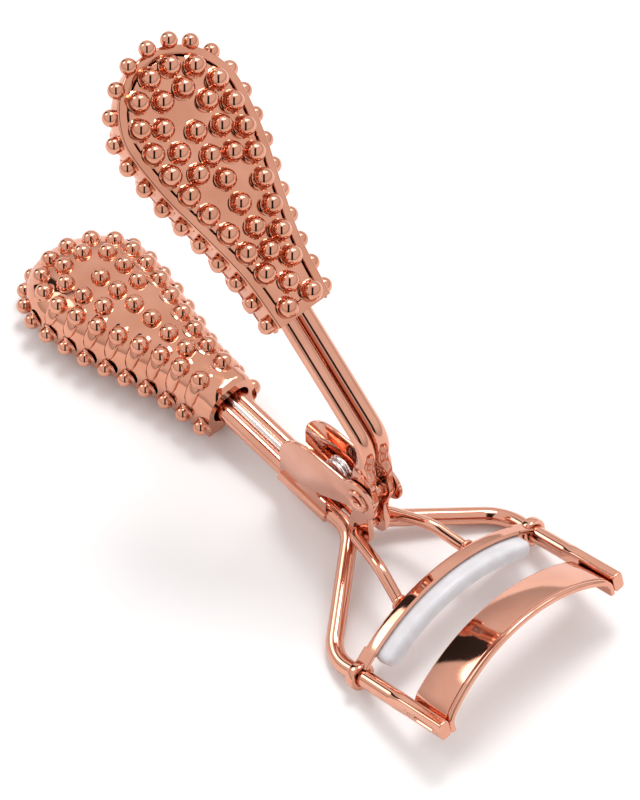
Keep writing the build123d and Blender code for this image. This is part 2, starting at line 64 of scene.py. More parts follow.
# ---- rails and pivot, placed from the frame -----------------------------------------------------
joints = {joint["name"]: joint for joint in frame["joints"]}
pivot = Vector(joints["lever_hinge"]["pos_m"]) / MM
rail_dir = Vector(joints["jaw_slide"]["axis"]).normalized()
rail_up = Vector((-rail_dir.z, 0, rail_dir.x))
swing = joints["lever_hinge"]["range_deg"][1]


def node_box(name):
    low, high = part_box(name)
    return low / MM, high / MM


wire_low, wire_high = node_box("frame_wire_left")
wire_r = 1.425
rail_y = -wire_low.y - wire_r
flat_h = 3.25
rail_end = Vector((wire_high.x - flat_h / 2 * rail_dir.z, 0, wire_high.z - flat_h / 2 * rail_dir.x))
rail_len = 25.8
corner = rail_end - rail_dir * rail_len


def rail(u, y, v):
    """A point u forwards along the rails from their cut ends, y across and v square above them."""
    return rail_end + rail_dir * u + rail_up * v + Vector((0, y, 0))


# ---- mesh helpers -------------------------------------------------------------------------------
def face_outwards(mesh):
    """Joins points that coincide and turns every face of each closed part outwards."""
    work = bmesh.new()
    work.from_mesh(mesh)
    bmesh.ops.remove_doubles(work, verts=work.verts, dist=0.002 * MM)
    bmesh.ops.recalc_face_normals(work, faces=work.faces)
    work.to_mesh(mesh)
    work.free()


def new_object(name, data):
    made = bpy.data.objects.new(name, data)
    bpy.context.scene.collection.objects.link(made)
    return made


def mesh_piece(name, parts, body, material, nodes=(), sharp=32):
    """One piece from a list of (points in mm, faces) parts.  It rides on body and replaces nodes."""
    verts = []
    faces = []
    for points, part_faces in parts:
        base = len(verts)
        verts += [Vector(p) * MM for p in points]
        faces += [[base + i for i in face] for face in part_faces]
    mesh = bpy.data.meshes.new(name)
    mesh.from_pydata(verts, [], faces)
    face_outwards(mesh)
    mesh.shade_smooth()
    mesh.set_sharp_from_angle(angle=radians(sharp))
    mesh.materials.append(material)
    piece = new_object(name, mesh)
    if body:
        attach(piece, body)
    if nodes:
        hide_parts(*nodes)
    return piece


def moved(parts, place):
    """The parts with every point taken through the matrix place."""
    return [([place @ Vector(p) for p in points], faces) for points, faces in parts]


def basis(origin, x_dir, z_dir):
    """A matrix from a local frame with that x and z to the part's frame."""
    x = Vector(x_dir).normalized()
    z = Vector(z_dir).normalized()
    y = z.cross(x)
    place = Matrix((x, y, z)).transposed().to_4x4()
    place.translation = Vector(origin)
    return place


def rounded_route(points, radii, step):
    """Points about step apart along straight runs joined by tangent arcs, one radius per inner point."""
    points = [Vector(p) for p in points]
    route = [points[0]]
    for before, bend, after, radius in zip(points, points[1:], points[2:], radii):
        back = (before - bend).normalized()
        ahead = (after - bend).normalized()
        half = back.angle(ahead) / 2
        reach = radius / tan(half)
        centre = bend + (back + ahead).normalized() * radius / sin(half)
        first = bend + back * reach - centre
        last = bend + ahead * reach - centre
        turn = pi - 2 * half
        count = max(4, ceil(turn * radius / step))
        for i in range(count + 1):
            t = i / count
            arm = (first * sin((1 - t) * turn) + last * sin(t * turn)) / sin(turn)
            route.append(centre + arm)
    route.append(points[-1])
    return evenly(route, step)


def evenly(route, step):
    """Points added on the long runs of a route, so that no two are further apart than step."""
    full = [route[0]]
    for a, b in zip(route, route[1:]):
        count = max(1, round((b - a).length / step))
        full += [a.lerp(b, (i + 1) / count) for i in range(count)]
    return full


def heading(route, k):
    """The unit direction of a route at its point k."""
    return (route[min(k + 1, len(route) - 1)] - route[max(k - 1, 0)]).normalized()


def lengths_along(route):
    """How far each point of a route is from its start."""
    total = [0.0]
    for a, b in zip(route, route[1:]):
        total.append(total[-1] + (b - a).length)
    return total


def even_line(points, count):
    """An open line of 2-D points as count points the same distance apart."""
    along = np.concatenate([[0], np.cumsum(np.hypot(*np.diff(points, axis=0).T))])
    places = np.linspace(0, along[-1], count)
    return np.column_stack([np.interp(places, along, points[:, k]) for k in (0, 1)])


def even_loop(loop, count):
    """A closed loop of 2-D points as count points the same distance apart."""
    return even_line(np.array(loop + [loop[0]], float), count + 1)[:-1]


def squircle(a, b, power, count):
    """A loop between an ellipse (power 2) and a rectangle (high power), with half-widths a and b."""
    dense = []
    for i in range(180):
        c = cos(2 * pi * i / 180)
        s = sin(2 * pi * i / 180)
        x = abs(c) ** (2 / power) * (1 if c >= 0 else -1)
        y = abs(s) ** (2 / power) * (1 if s >= 0 else -1)
        dense.append((a * x, b * y))
    return even_loop(dense, count)


def disc(radius, count=32):
    """A circle as a closed loop of points."""
    return np.array(arc((0, 0), radius, 0, 360, count)[:-1])


def skin(rings, ends=(True, True), closed=True):
    """Quads between rings of equal length, with a flat face at each end that ends asks for."""
    n = len(rings[0])
    points = [p for ring in rings for p in ring]
    faces = []
    for k in range(len(rings) - 1):
        for i in range(n if closed else n - 1):
            j = (i + 1) % n
            faces.append([k * n + i, k * n + j, (k + 1) * n + j, (k + 1) * n + i])
    if ends[0]:
        faces.append(list(range(n))[::-1])
    if ends[1]:
        faces.append([(len(rings) - 1) * n + i for i in range(n)])
    return points, faces


def sweep(route, section, edge):
    """A solid along a route.  section(s) gives the loop of (across, up) points at length s.  The
    cut ends have an edge of the given radius."""
    across = Vector((0, 1, 0))
    along = lengths_along(route)
    rings = []
    for k, point in enumerate(route):
        ahead = heading(route, k)
        side = (across - ahead * across.dot(ahead)).normalized()
        up = ahead.cross(side)
        loop = section(along[k])
        if k in (0, len(route) - 1) and edge:
            sign = 1 if k == 0 else -1
            steps = [(1.0, 0.0), (0.45, 0.15), (0.12, 0.45), (0.0, 1.0)]
            eased = []
            for inset, back in steps:
                size = 1 - inset * edge / max(abs(loop[:, 0]).max(), 1e-6)
                place = point + ahead * sign * back * edge
                eased.append([place + side * (x * size) + up * (y * size) for x, y in loop])
            rings += eased if k == 0 else eased[::-1]
        else:
            rings.append([point + side * x + up * y for x, y in loop])
    return skin(rings)


def lathe(profile, place, count=40, ends=(False, False)):
    """The (radius, height) profile turned about the z axis of the matrix place."""
    rings = [[place @ Vector((x, y, height)) for x, y in disc(radius, count)] for radius, height in profile]
    return skin(rings, ends)


def arc(centre, radius, start, end, count):
    """Points of a 2-D arc, from start to end in degrees."""
    turns = [radians(start + (end - start) * i / count) for i in range(count + 1)]
    return [(centre[0] + radius * cos(a), centre[1] + radius * sin(a)) for a in turns]


def arc_through(a, b, c, count=14):
    """Points of the arc from a through b to c."""
    # the centre is as far from a as from b and from c
    (bx, by), (cx, cy) = ((p[0] - a[0], p[1] - a[1]) for p in (b, c))
    bb = bx * bx + by * by
    cc = cx * cx + cy * cy
    d = 2 * (bx * cy - by * cx)
    ux = a[0] + (cy * bb - by * cc) / d
    uy = a[1] + (bx * cc - cx * bb) / d
    t0, t1, t2 = (degrees(atan2(p[1] - uy, p[0] - ux)) for p in (a, b, c))
    forward = (t1 - t0) % 360 < (t2 - t0) % 360
    span = (t2 - t0) % 360 if forward else -((t0 - t2) % 360)
    return arc((ux, uy), hypot(a[0] - ux, a[1] - uy), t0, t0 + span, count)


def inset_loop(loop, amount):
    """A closed counter-clockwise loop moved inwards by amount."""
    loop = np.asarray(loop, float)
    ahead = np.roll(loop, -1, 0) - loop
    ahead /= np.maximum(np.hypot(*ahead.T), 1e-9)[:, None]
    behind = np.roll(ahead, 1, 0)
    normal = np.column_stack([-(ahead + behind)[:, 1], (ahead + behind)[:, 0]])
    normal /= np.maximum(np.hypot(*normal.T), 1e-9)[:, None]
    return loop + normal * amount


def flat_face(loops, at, flip):
    """The face between an outline and its holes, each 2-D point placed by at."""
    loops = [[Vector((x, y, 0)) for x, y in loop] for loop in loops]
    flat = [p for loop in loops for p in loop]
    triangles = []
    for face in tessellate_polygon(loops):
        a, b, c = (flat[i] for i in face)
        up = (b - a).cross(c - a).z > 0
        triangles.append(list(face) if up != flip else list(face)[::-1])
    return [at(p) for p in flat], triangles


def slab(loops, low, high, place, edge=0.12):
    """A plate with rounded edges: the first loop is its outline, counter-clockwise, and the others
    are holes, clockwise.  It spans low to high along the z axis of the matrix place."""
    steps = [(1.0, 0.0), (0.62, 0.08), (0.29, 0.29), (0.08, 0.62), (0.0, 1.0)]
    levels = [(inset * edge, low + rise * edge) for inset, rise in steps]
    levels += [(inset * edge, high - rise * edge) for inset, rise in steps[::-1]]
    parts = []
    for loop in loops:
        rings = []
        for inset, z in levels:
            rings.append([place @ Vector((x, y, z)) for x, y in inset_loop(loop, inset)])
        parts.append(skin(rings, (False, False)))
    eased = [inset_loop(loop, edge) for loop in loops]
    for z, flip in ((low, True), (high, False)):
        parts.append(flat_face(eased, lambda p: place @ Vector((p.x, p.y, z)), flip))
    return parts


# ---- materials ----------------------------------------------------------------------------------
def adder(tree):
    """A function that adds a node to the tree with its inputs set or wired."""

    def add(kind, inputs=None, **settings):
        node = tree.nodes.new(kind)
        for key, value in settings.items():
            setattr(node, key, value)
        for key, value in (inputs or {}).items():
            if hasattr(value, "is_output"):
                tree.links.new(value, node.inputs[key])
            else:
                node.inputs[key].default_value = value
        return node

    return add


def new_material(name):
    """A material with its principled shader, its node adder and its links."""
    material = bpy.data.materials.new(name)
    material.use_nodes = True
    tree = material.node_tree
    return material, tree.nodes["Principled BSDF"], adder(tree), tree.links


def ramp(add, factor, stops):
    """A colour ramp of (position, colour) stops driven by factor."""
    node = add("ShaderNodeValToRGB", {"Fac": factor})
    elements = node.color_ramp.elements
    while len(elements) < len(stops):
        elements.new(0.5)
    for element, (position, colour) in zip(elements, stops):
        element.position = position
        element.color = (*colour, 1) if len(colour) == 3 else colour
    return node.outputs["Color"]


def noise(add, scale, detail, roughness=0.5):
    """A cloudy pattern fixed to the object."""
    place = add("ShaderNodeTexCoord").outputs["Object"]
    inputs = {"Vector": place, "Scale": scale, "Detail": detail, "Roughness": roughness}
    return add("ShaderNodeTexNoise", inputs).outputs["Fac"]


def plated(name, light, deep, polish, wave, scratch):
    """Mirror plating: its colour drifts a little between light and deep, polish is its roughness,
    wave the height of its broad unevenness and scratch that of fine rubbing marks."""
    material, shader, add, links = new_material(name)
    broad = noise(add, 160.0, 2.0)
    fine = noise(add, 2600.0, 4.0, 0.7)
    colour = ramp(add, broad, [(0.32, deep), (0.68, light)])
    links.new(colour, shader.inputs["Base Color"])
    shader.inputs["Metallic"].default_value = 1.0
    spread = add("ShaderNodeMapRange", {
        "Value": fine, "From Min": 0.3, "From Max": 0.75, "To Min": polish * 0.7, "To Max": polish * 1.7,
    })
    links.new(spread.outputs["Result"], shader.inputs["Roughness"])
    uneven = add("ShaderNodeBump", {"Height": broad, "Strength": wave, "Distance": 0.00025})
    rub = add("ShaderNodeBump", {
        "Height": fine, "Strength": scratch, "Distance": 0.00002, "Normal": uneven.outputs["Normal"],
    })
    links.new(rub.outputs["Normal"], shader.inputs["Normal"])
    return material


rose_light = (0.76, 0.385, 0.275)
rose_deep = (0.69, 0.325, 0.225)
rose_wire = plated("rose_gold_wire", rose_light, rose_deep, 0.06, 0.10, 0.2)
rose_sheet = plated("rose_gold_sheet", rose_light, rose_deep, 0.05, 0.06, 0.15)
rose_grip = plated("rose_gold_grip", (0.72, 0.345, 0.235), (0.63, 0.28, 0.182), 0.05, 0.14, 0.1)
spring_steel = plated("spring_steel", (0.78, 0.78, 0.79), (0.62, 0.62, 0.64), 0.12, 0.05, 0.5)


def silicone_material():
    """Milky white silicone with a satin skin and faint mottling."""
    material, shader, add, links = new_material("white_silicone")
    mottle = noise(add, 420.0, 3.0)
    grain = noise(add, 5200.0, 3.0)
    colour = ramp(add, mottle, [(0.3, (0.63, 0.62, 0.645)), (0.7, (0.71, 0.70, 0.725))])
    links.new(colour, shader.inputs["Base Color"])
    spread = add("ShaderNodeMapRange", {"Value": grain, "To Min": 0.28, "To Max": 0.5})
    links.new(spread.outputs["Result"], shader.inputs["Roughness"])
    skin_bump = add("ShaderNodeBump", {"Height": grain, "Strength": 0.25, "Distance": 0.00003})
    links.new(skin_bump.outputs["Normal"], shader.inputs["Normal"])
    shader.inputs["Subsurface Weight"].default_value = 0.35
    shader.inputs["Subsurface Radius"].default_value = (1.0, 0.8, 0.75)
    shader.inputs["Subsurface Scale"].default_value = 0.0012
    return material


silicone = silicone_material()

# ---- frame wires: handle, flare, corner and rail ------------------------------------------------
wire_y = 1.65                 # half the spacing of the frame wires at the handle
neck_x = -11.75               # first bead of the lower grip
ring_z = 4.47                 # plane of the lower grip's ring of beads
neck_wire_z = ring_z + 2.1
handle_pitch = 5.6
flare_x = 18.8
wire_tail = 12.0
flat_u = 10.7                 # the rails are pressed flat for this length
flat_t = 2.0
slot_back = 3.9               # from the cut end to the middle of the slot for the fixed jaw's tab
dent_back = 7.3
handle_fall = tan(radians(handle_pitch))


def handle_z(x):
    """Height of the frame wires' middle lines at x on the sloping handle."""
    return neck_wire_z - (x - neck_x) * handle_fall


def smooth(low, high, x):
    """0 below low, 1 above high, and an even S between them."""
    t = min(max((x - low) / (high - low), 0), 1)
    return t * t * (3 - 2 * t)


def frame_wire(side):
    route = rounded_route(
        [
            (neck_x - wire_tail, side * wire_y, handle_z(neck_x - wire_tail)),
            (flare_x, side * wire_y, handle_z(flare_x)),
            corner + Vector((0, side * rail_y, 0)),
            rail(0, side * rail_y, 0),
        ],
        [5.0, 6.5],
        0.16,
    )
    total = lengths_along(route)[-1]

    def section(s):
        back = total - s              # distance from the cut end
        pressed = smooth(flat_u + 0.9, flat_u - 1.9, back) if back < flat_u + 1 else 0
        loop = squircle(
            wire_r + (flat_t / 2 - wire_r) * pressed,
            wire_r + (flat_h / 2 - wire_r) * pressed,
            2 + 2.6 * pressed,
            72,
        )
        if back > flat_u + 0.5:
            return loop
        # the slot with the fixed jaw's tab, and a small set-down behind it, on the outer face
        outer = loop[:, 0] * side > 0
        from_slot = np.hypot(np.maximum(np.abs(back - slot_back) - 1.7, 0), loop[:, 1])
        slot_depth = 0.5 * np.clip((0.62 - from_slot) / 0.16, 0, 1)
        dent = np.hypot(back - dent_back, loop[:, 1] + 0.1)
        dent_depth = 0.55 * np.sqrt(np.clip(1 - (dent / 0.75) ** 2, 0, 1))
        loop[:, 0] -= side * np.where(outer, np.maximum(slot_depth, dent_depth), 0)
        return loop

    return sweep(route, section, edge=0.16)


for side, label in ((-1, "left"), (1, "right")):
    mesh_piece(
        f"cage_wire_{label}", [frame_wire(side)], "frame", rose_wire,
        [f"frame_wire_{label}"], sharp=50,
    )

# ---- hinge bracket: one sheet wrapped under the wires, with two upright ears --------------------
sheet_t = 0.6
ear_y = 3.1
wrap_back = pivot.x - 17.7
wrap_front = pivot.x - 7.2
wrap_mid_z = handle_z(wrap_back + 5)
ear_top = pivot.z + 2.0
tongue_r = 3.7
rivet_r = 1.5


def side_place(y):
    """Local x and y are the part's X and Z; local z runs towards -Y from y."""
    return basis((0, y, 0), (1, 0, 0), (0, -1, 0))


def ear_outline():
    crease = wrap_mid_z + 0.3
    under = (pivot.x - 1.6, pivot.z - sqrt(tongue_r**2 - 1.6**2))
    slot_low = (wrap_front - 1.4, wrap_mid_z + 3.4)
    slot_high = (wrap_front - 1.2, wrap_mid_z + 4.8)
    outline = [(wrap_back, crease + 0.5), (wrap_front, crease - 0.4)]
    outline += [(wrap_front, wrap_mid_z + 3.1), (wrap_front - 0.3, wrap_mid_z + 3.4)]
    outline += arc_through(slot_low, (wrap_front - 2.1, wrap_mid_z + 4.1), slot_high, 10)
    outline += arc_through(
        under, (pivot.x + tongue_r, pivot.z), (pivot.x - 2.4, pivot.z + sqrt(tongue_r**2 - 2.4**2)), 56
    )
    notch = [(pivot.x - 2.9, ear_top + 0.5), (pivot.x - 3.25, ear_top + 0.1), (pivot.x - 3.8, ear_top)]
    outline += arc_through(*notch, 5)
    outline += arc_through(
        (wrap_back + 7.4, ear_top - 0.2), (wrap_back + 2.0, ear_top - 2.4), (wrap_back, ear_top - 7.6), 26
    )
    return outline


def pivot_hole(radius):
    """A clockwise circle round the pivot."""
    return [(pivot.x + x, pivot.z + y) for x, y in disc(radius, 48)][::-1]


bracket_parts = []
for side in (-1, 1):
    low = ear_y - sheet_t if side < 0 else -ear_y
    bracket_parts += slab([ear_outline(), pivot_hole(rivet_r)], low, low + sheet_t, side_place(0), edge=0.14)
# the wrap: a band round both wires, open at the top
wrap_r = wire_r + sheet_t / 2
band = arc((wire_y, 0), wrap_r, 38, -90, 26)
band += [(-y, z) for y, z in band[::-1]]


def thick_line(line, thickness):
    """A closed loop round an open 2-D line, with rounded ends."""
    line = np.asarray(line, float)
    ahead = np.gradient(line, axis=0)
    ahead /= np.hypot(*ahead.T)[:, None]
    normal = np.column_stack([-ahead[:, 1], ahead[:, 0]])
    half = thickness / 2
    left = line + normal * half
    right = line - normal * half
    tip = line[-1] + ahead[-1] * half * 0.8
    tail = line[0] - ahead[0] * half * 0.8
    return np.vstack([left, tip, right[::-1], tail])


wrap_loop = thick_line(band, sheet_t)
wrap_route = evenly([Vector((x, 0, handle_z(x))) for x in (wrap_back, wrap_front)], 2.0)
bracket_parts.append(sweep(wrap_route, lambda s: wrap_loop, edge=0.1))
mesh_piece("bracket_sheet", bracket_parts, "frame", rose_sheet, ["hinge_bracket"], sharp=40)

# ---- pivot rivet: a tube with a rolled flange at each end ---------------------------------------
flange = [(0.85, 0.0), (0.86, ear_y - 0.2), (0.95, ear_y + 0.16), (1.15, ear_y + 0.36)]
flange += arc((1.72, ear_y + 0.12), 0.42, 120, 0, 10)
flange += [(2.14, ear_y + 0.02), (rivet_r, ear_y + 0.005), (rivet_r, 0.0)]
rivet_parts = []
for side in (-1, 1):
    rivet_parts.append(lathe(flange, basis(pivot, (1, 0, 0), (0, side, 0)), 56))
mesh_piece("hinge_rivet", rivet_parts, "frame", rose_sheet, ["pivot_rivet"], sharp=60)

# ---- torsion spring -----------------------------------------------------------------------------
spring_d = 1.0
coil = Vector((pivot.x - 7.0, 0, pivot.z - 2.6))
coil_r = 2.3
coil_pitch = spring_d + 0.04
coil_start = -70.0
coil_end = 712.0
coil_half = coil_pitch * (coil_end - coil_start) / 720
lever_y = 1.5
lever_pitch = 42.8
lever_bend = Vector((pivot.x + 0.2, 0, pivot.z + 12.8))
lever_back = Vector((-cos(radians(lever_pitch)), 0, sin(radians(lever_pitch))))
lever_under = Vector((-lever_back.z, 0, lever_back.x))
frame_leg_rise = sqrt((wire_r + spring_d / 2 + 0.05) ** 2 - wire_y**2)
lever_leg_rise = sqrt((wire_r + spring_d / 2 + 0.1) ** 2 - lever_y**2)


def frame_groove(x):
    """Centre of the spring leg lying on top of the two frame wires."""
    return Vector((x, 0, handle_z(x) + frame_leg_rise))


def lever_groove(back):
    """Centre of the spring leg lying under the two lever wires, back from their bend."""
    return lever_bend + lever_back * back + lever_under * lever_leg_rise


def coil_point(angle, y):
    return coil + Vector((coil_r * cos(radians(angle)), y, coil_r * sin(radians(angle))))


lower_leg = rounded_route(
    [frame_groove(neck_x - 8), frame_groove(coil.x - 12), coil_point(coil_start, -coil_half)], [9.0], 0.4
)
upper_leg = rounded_route(
    [coil_point(coil_end, coil_half), lever_groove(0.5), lever_groove(14)], [4.0], 0.4
)
coil_steps = 110
turns = []
for i in range(1, coil_steps):
    t = i / coil_steps
    turns.append(coil_point(coil_start + (coil_end - coil_start) * t, coil_half * (2 * t - 1)))
spring_route = lower_leg + turns + upper_leg


def transported(route, loop):
    """A swept tube whose section is carried along the route without twisting."""
    rings = []
    side = Vector((0, 1, 0))
    for k, point in enumerate(route):
        ahead = heading(route, k)
        side = (side - ahead * side.dot(ahead)).normalized()
        up = ahead.cross(side)
        rings.append([point + side * x + up * y for x, y in loop])
    return skin(rings)


spring = mesh_piece(
    "return_spring", [transported(spring_route, disc(spring_d / 2, 20))], None, spring_steel,
    ["torsion_spring"], sharp=50,
)
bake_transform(spring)

# ---- lever wires: grip end, bend, flattened plate with pivot and push eyes ----------------------
arm = 10.0                    # rivet to the push eye
rail_pitch = degrees(atan2(rail_dir.z, rail_dir.x))
eye_lean = rail_pitch - swing / 2
eye = pivot + Vector((arm * sin(radians(eye_lean)), 0, -arm * cos(radians(eye_lean))))
slot_reach = arm * (1 - cos(radians(swing / 2)))
plate_t = 1.2
plate_y = 1.75
plate_w = 4.2
upper_u = 25.2
running = 0.12
rod_r = 1.0


def lever_wire(side):
    """The round wire from inside the grip, round its bend and pressed flat into the plate."""
    tail = upper_u + wire_tail
    route = rounded_route(
        [
            lever_bend + lever_back * tail + Vector((0, side * lever_y, 0)),
            lever_bend + Vector((0, side * lever_y, 0)),
            Vector((pivot.x + 0.05, side * lever_y, pivot.z + 9.0)),
            Vector((pivot.x, side * plate_y, pivot.z + 5.5)),
            Vector((pivot.x, side * plate_y, pivot.z + 2.2)),
        ],
        [6.0, 5.0, 5.0],
        0.2,
    )
    foot = lengths_along(route)[-1] + pivot.z + 2.2      # length along the wire less height

    def section(s):
        z = foot - s - pivot.z                # height above the rivet
        flat = smooth(9.4, 5.2, z) if z < 9.4 else 0
        thick = wire_r + (plate_t / 2 - wire_r) * flat
        wide = wire_r + (plate_w / 2 - wire_r) * smooth(9.0, 4.6, z)
        loop = squircle(wire_r, wide, 2 + 1.2 * flat, 64)
        loop[:, 0] = np.clip(loop[:, 0], -thick, thick)
        # the punch leaves a drop-shaped set-down in each face
        drop = max(0.0, 1 - ((z - 5.6) / 2.6) ** 2) ** 0.5 * 0.62
        if drop > 0:
            inside = np.clip((drop - np.abs(loop[:, 1])) / 0.22, 0, 1)
            loop[:, 0] -= np.sign(loop[:, 0]) * 0.16 * inside * (np.abs(loop[:, 0]) > thick * 0.6)
        return loop

    return sweep(route, section, edge=0.0)


def lever_plate(side):
    """The flattened end of a lever wire, with the pivot eye and the slotted push eye."""
    turn = radians(eye_lean)
    along_arm = np.array([sin(turn), -cos(turn)])
    across_arm = np.array([cos(turn), sin(turn)])
    centre = np.array([pivot.x, pivot.z])

    def at(down, out):
        return tuple(centre + along_arm * down + across_arm * out)

    neck = 1.75                   # half-width between the two eyes
    eye_round = arc((arm, 0), 2.5, -58, 58, 29)
    side_line = [(arm + 0.6, 2.42), (arm - 1.2, 2.36), (arm - 3.0, 1.95), (arm - 4.6, neck)]
    side_line += [(3.6, neck), (2.4, 2.15)]
    shoulder = [(2.9, 0.6), (2.5, 2.0), (plate_w / 2, 3.6), (plate_w / 2 - 0.04, 4.6)]
    outline_points = [at(down, out) for down, out in eye_round + side_line]
    outline_points += [(pivot.x + x, pivot.z + z) for x, z in shoulder]
    outline_points += [(pivot.x - x, pivot.z + z) for x, z in shoulder[::-1]]
    outline_points += [at(down, -out) for down, out in side_line[::-1]]
    loop = even_loop(chaikin(outline_points), 220)
    reach = slot_reach / 2
    # x and y change places here, so this loop runs clockwise, as a hole does
    push = [at(arm - reach + y + (reach if y > 0 else -reach), x) for x, y in disc(rod_r + running, 48)]
    loops = [loop, pivot_hole(rivet_r + running / 2), push]
    middle = side * -plate_y
    return slab(loops, middle - plate_t / 2, middle + plate_t / 2, side_place(0), edge=0.16)


def chaikin(points, rounds=2):
    """A closed loop with its corners cut, rounds times over."""
    p = np.asarray(points, float)
    for _ in range(rounds):
        q = np.roll(p, -1, 0)
        p = np.stack([0.75 * p + 0.25 * q, 0.25 * p + 0.75 * q], 1).reshape(-1, 2)
    return [tuple(x) for x in p]


for side, label in ((-1, "left"), (1, "right")):
    mesh_piece(
        f"squeeze_wire_{label}", [lever_wire(side)] + lever_plate(side), "lever",
        rose_wire, [f"lever_wire_{label}"], sharp=38,
    )

# ---- push rod: one wire through both push eyes, riveted to the moving jaw -----------------------
jaw_back_u = -20.6
jaw_front_u = -18.0
jaw_t = 0.8
jaw_r = 33.5
jaw_top_v = 7.3
pad_h = 2.8
rod_side = 3.3
rod_hole_y = 7.3
web_v = jaw_top_v - 2.3
rod_end = rail(jaw_back_u - 0.5, 0, web_v)
rod_half = [
    eye + Vector((0, rod_side, 0)),
    eye + Vector((8.0, 5.7, 2.4)),
    rod_end + Vector((0, rod_hole_y, 0)),
]
rod_points = [Vector((p.x, -p.y, p.z)) for p in rod_half[::-1]] + rod_half
rod_route = rounded_route(rod_points, [6.0, 1.6, 1.6, 6.0], 0.25)
rod_parts = [transported(rod_route, disc(rod_r, 28))]
collar = [(0.0, 0.0), (1.2, 0.0), (1.4, 0.08), (1.45, 0.2)]
collar += [(1.45, 0.5), (1.38, 0.66), (1.2, 0.74), (0.0, 0.74)]
for side in (-1, 1):
    foot = rail(jaw_back_u - 0.75, side * rod_hole_y, web_v)
    rod_parts.append(lathe(collar, basis(foot, (0, 1, 0), rail_dir), 32))
mesh_piece("rod", rod_parts, "jaw", rose_wire, ["push_rod"], sharp=50)

# ---- moving jaw and its pad ---------------------------------------------------------------------
jaw_axis_v = jaw_top_v - jaw_r
lip_sweep = degrees(asin((rail_y - 0.4) / jaw_r))
channel_sweep = degrees(asin((rail_y - wire_r - 1.4) / jaw_r))
channel_r = jaw_r - 2 * jaw_t - pad_h
lug_u = -19.4


def jaw_ring(profile, angle):
    """The (u, radius) profile turned to angle about the moving jaw's axis."""
    a = radians(angle)
    return [rail(u, r * sin(a), jaw_axis_v + r * cos(a)) for u, r in profile]


def turned(profile, first, last, count=90):
    """The (u, radius) profile swept about that axis from first to last."""
    return skin([jaw_ring(profile, first + (last - first) * i / count) for i in range(count + 1)])


mid_back = jaw_back_u + jaw_t / 2
mid_top = jaw_r - jaw_t / 2
mid_low = channel_r + jaw_t / 2
channel_line = [(jaw_front_u - 0.3, mid_top), (jaw_front_u - 1.1, mid_top)]
channel_line += arc((mid_back + 0.5, mid_top - 0.5), 0.5, 90, 180, 6)
channel_line += [(mid_back, mid_top - 1.3), (mid_back, mid_low + 1.3)]
channel_line += arc((mid_back + 0.5, mid_low + 0.5), 0.5, 180, 270, 6)
channel_line += [(jaw_front_u - 1.5, mid_low), (jaw_front_u - 1.2, mid_low)]
channel = thick_line(channel_line, jaw_t)
lip = even_loop(list(squircle((jaw_front_u - jaw_back_u) / 2, jaw_t / 2 - 0.01, 6, 60)), 60)
lip = lip + np.array([(jaw_front_u + jaw_back_u) / 2, mid_top])
jaw_parts = [turned(channel, -channel_sweep, channel_sweep)]
for side in (-1, 1):
    first, last = sorted((side * (channel_sweep - 0.4), side * lip_sweep))
    jaw_parts.append(turned(lip, first, last, 16))
lug_r = 2.35
lug_len = 1.7
inner_r = wire_r + running
lug = [(inner_r, 0.12), (inner_r + 0.12, 0.0), (lug_r - 0.35, 0.0), (lug_r - 0.1, 0.1), (lug_r, 0.35)]
lug += [(r, lug_len - z) for r, z in lug[::-1]]
for side in (-1, 1):
    foot = rail(lug_u - lug_len / 2, side * rail_y, 0)
    jaw_parts.append(lathe(lug + [lug[0]], basis(foot, (0, 1, 0), rail_dir), 48))
mesh_piece("sliding_jaw", jaw_parts, "jaw", rose_sheet, ["moving_jaw"], sharp=40)

pad_end_y = node_box("silicone_pad")[1].y
pad_front_u = -15.3
pad_top_r = jaw_r - jaw_t - 0.04
pad_low_r = pad_top_r - pad_h + 0.08
pad_back_u = jaw_back_u + jaw_t + 0.9
pad_sweep = degrees(asin(pad_end_y / pad_top_r))


def pad_section(fall):
    """The pad's cross-section, drawn in by fall (0 to 1) towards its middle for the rounded ends."""
    face = [(pad_front_u - 0.9, pad_top_r - 0.02), (pad_front_u - 0.45, pad_top_r - 0.14)]
    face += [(pad_front_u - 0.12, pad_top_r - 0.5), (pad_front_u, pad_top_r - 1.1)]
    face += [(pad_front_u - 0.06, pad_low_r + 0.6), (pad_front_u - 0.3, pad_low_r + 0.15)]
    face += [(pad_front_u - 0.7, pad_low_r)]
    loop = face + [(pad_back_u, pad_low_r), (pad_back_u, pad_top_r - 0.02)]
    middle = np.array([(pad_back_u + pad_front_u) / 2 - 0.6, (pad_top_r + pad_low_r) / 2])
    dense = even_loop(loop, 60)
    return middle + (dense - middle) * (1 - fall)


pad_end = 2.6                 # each end is rounded over this angle
pad_steps = 100
pad_rings = []
for i in range(pad_steps + 1):
    angle = pad_sweep * (2 * i / pad_steps - 1)
    near_end = max(0, (abs(angle) - (pad_sweep - pad_end)) / pad_end)
    pad_rings.append(jaw_ring(pad_section(0.75 * (1 - sqrt(max(1 - near_end**2, 0)))), angle))
mesh_piece("lash_pad", [skin(pad_rings)], "jaw", silicone, ["silicone_pad"], sharp=70)

# ---- fixed jaw ----------------------------------------------------------------------------------
jaw_travel = joints["jaw_slide"]["range_m"][1] / MM
fixed_back_u = pad_front_u + jaw_travel + 0.05
fixed_t = 1.0
fixed_back_v = 6.7
fixed_front_v = 8.0
fixed_foot_v = 0.9
tab_inner = rail_y - flat_t / 2


